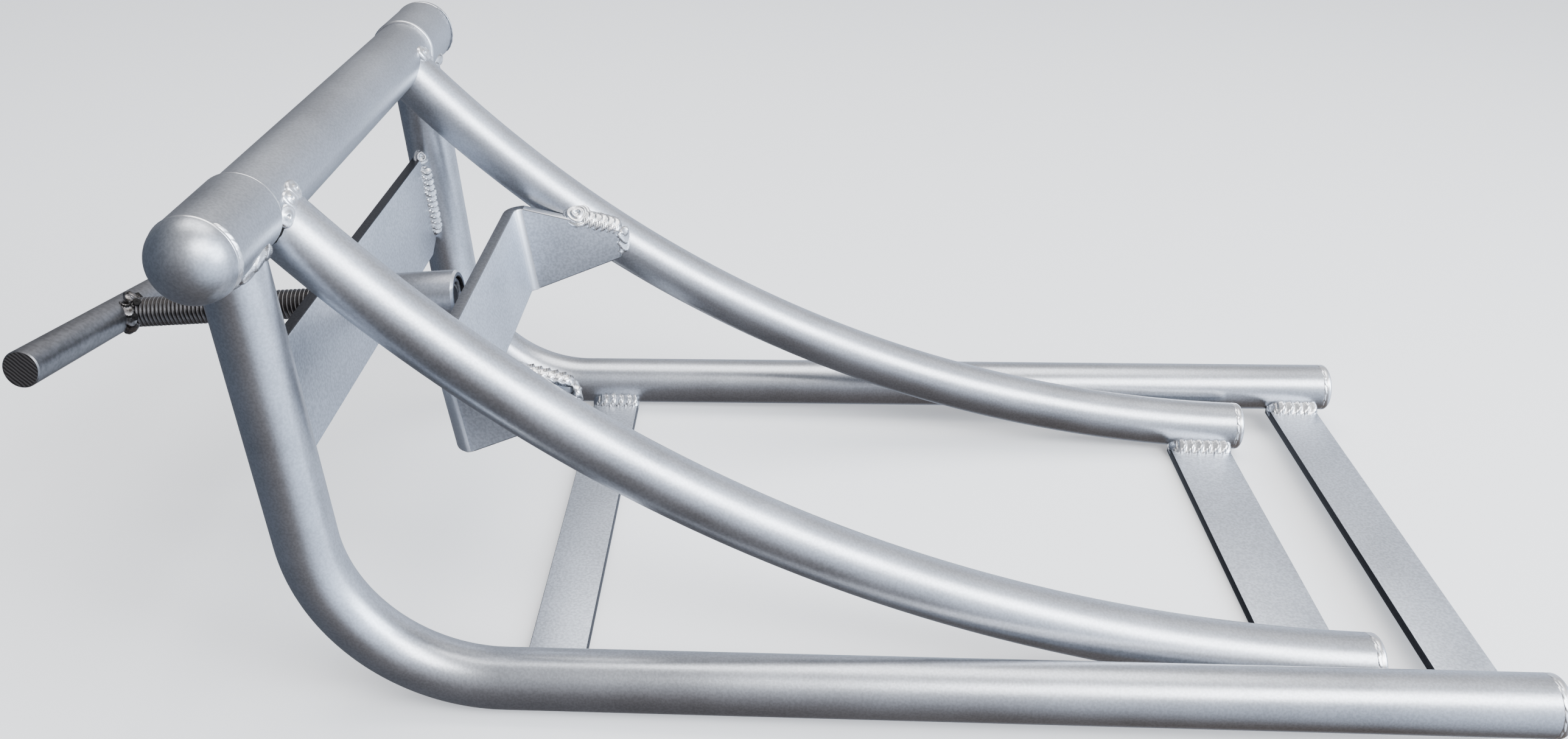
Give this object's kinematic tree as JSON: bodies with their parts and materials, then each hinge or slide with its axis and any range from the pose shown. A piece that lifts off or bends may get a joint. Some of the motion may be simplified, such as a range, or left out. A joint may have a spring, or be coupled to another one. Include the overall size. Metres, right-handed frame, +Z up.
{
  "type": "kip bar",
  "caption": "Low welded tube stand with a short cross bar on two bent legs, curved brace tubes, floor straps and a T-handle screw clamp behind the bar.",
  "frame": {"origin": "on the floor, under the middle of the overall length and width", "axes": "+X from the T handle back along the floor rails, +Y across the stand along the top bar, +Z up"},
  "size_m": [0.7917, 0.414, 0.2855],
  "materials": {
    "bar_tube": "satin, lightly drawn along the tube",
    "bar_dome": "satin with a bright ground seam",
    "frame_tube": "satin mill finish",
    "end_cap": "bright ground face",
    "flat_plate": "blasted, fine grain, dark cut edges",
    "boss": "turned, dark",
    "pad": "turned",
    "black_steel": "black oxide",
    "raw_steel": "hot rolled, mill scale"
  },
  "bodies": {
    "stand": {"top_bar": "bar_tube", "end_sleeve_near": "bar_tube", "end_sleeve_far": "bar_tube", "end_dome_near": "bar_dome", "end_dome_far": "bar_dome", "leg_rail_near": "frame_tube", "leg_rail_far": "frame_tube", "curved_tube_near": "frame_tube", "curved_tube_far": "frame_tube", "rail_cap_near": "end_cap", "rail_cap_far": "end_cap", "curved_tube_cap_near": "end_cap", "curved_tube_cap_far": "end_cap", "strap_front": "flat_plate", "strap_middle": "flat_plate", "strap_rear": "flat_plate", "screw_plate": "flat_plate", "threaded_boss": "boss", "jaw_bracket": "flat_plate"},
    "pad": {"pressure_pad": "pad"},
    "screw": {"clamp_screw": "black_steel", "t_handle": "raw_steel", "pad_clip": "black_steel"}
  },
  "joints": [
    {"name": "pad_slide", "type": "slide", "parent": "stand", "child": "pad", "axis": [0.9964, 0, 0.0843], "range_m": [-0.0226, 0.0106]},
    {"name": "screw_turn", "type": "hinge", "parent": "pad", "child": "screw", "pos_m": [-0.22797, 0, 0.15561], "axis": [0.9964, 0, 0.0843], "range_deg": [-3240, 1512]}
  ],
  "couplings": [
    {"joint": "pad_slide", "follows": "screw_turn", "m_per_rad": 0.00039789}
  ]
}
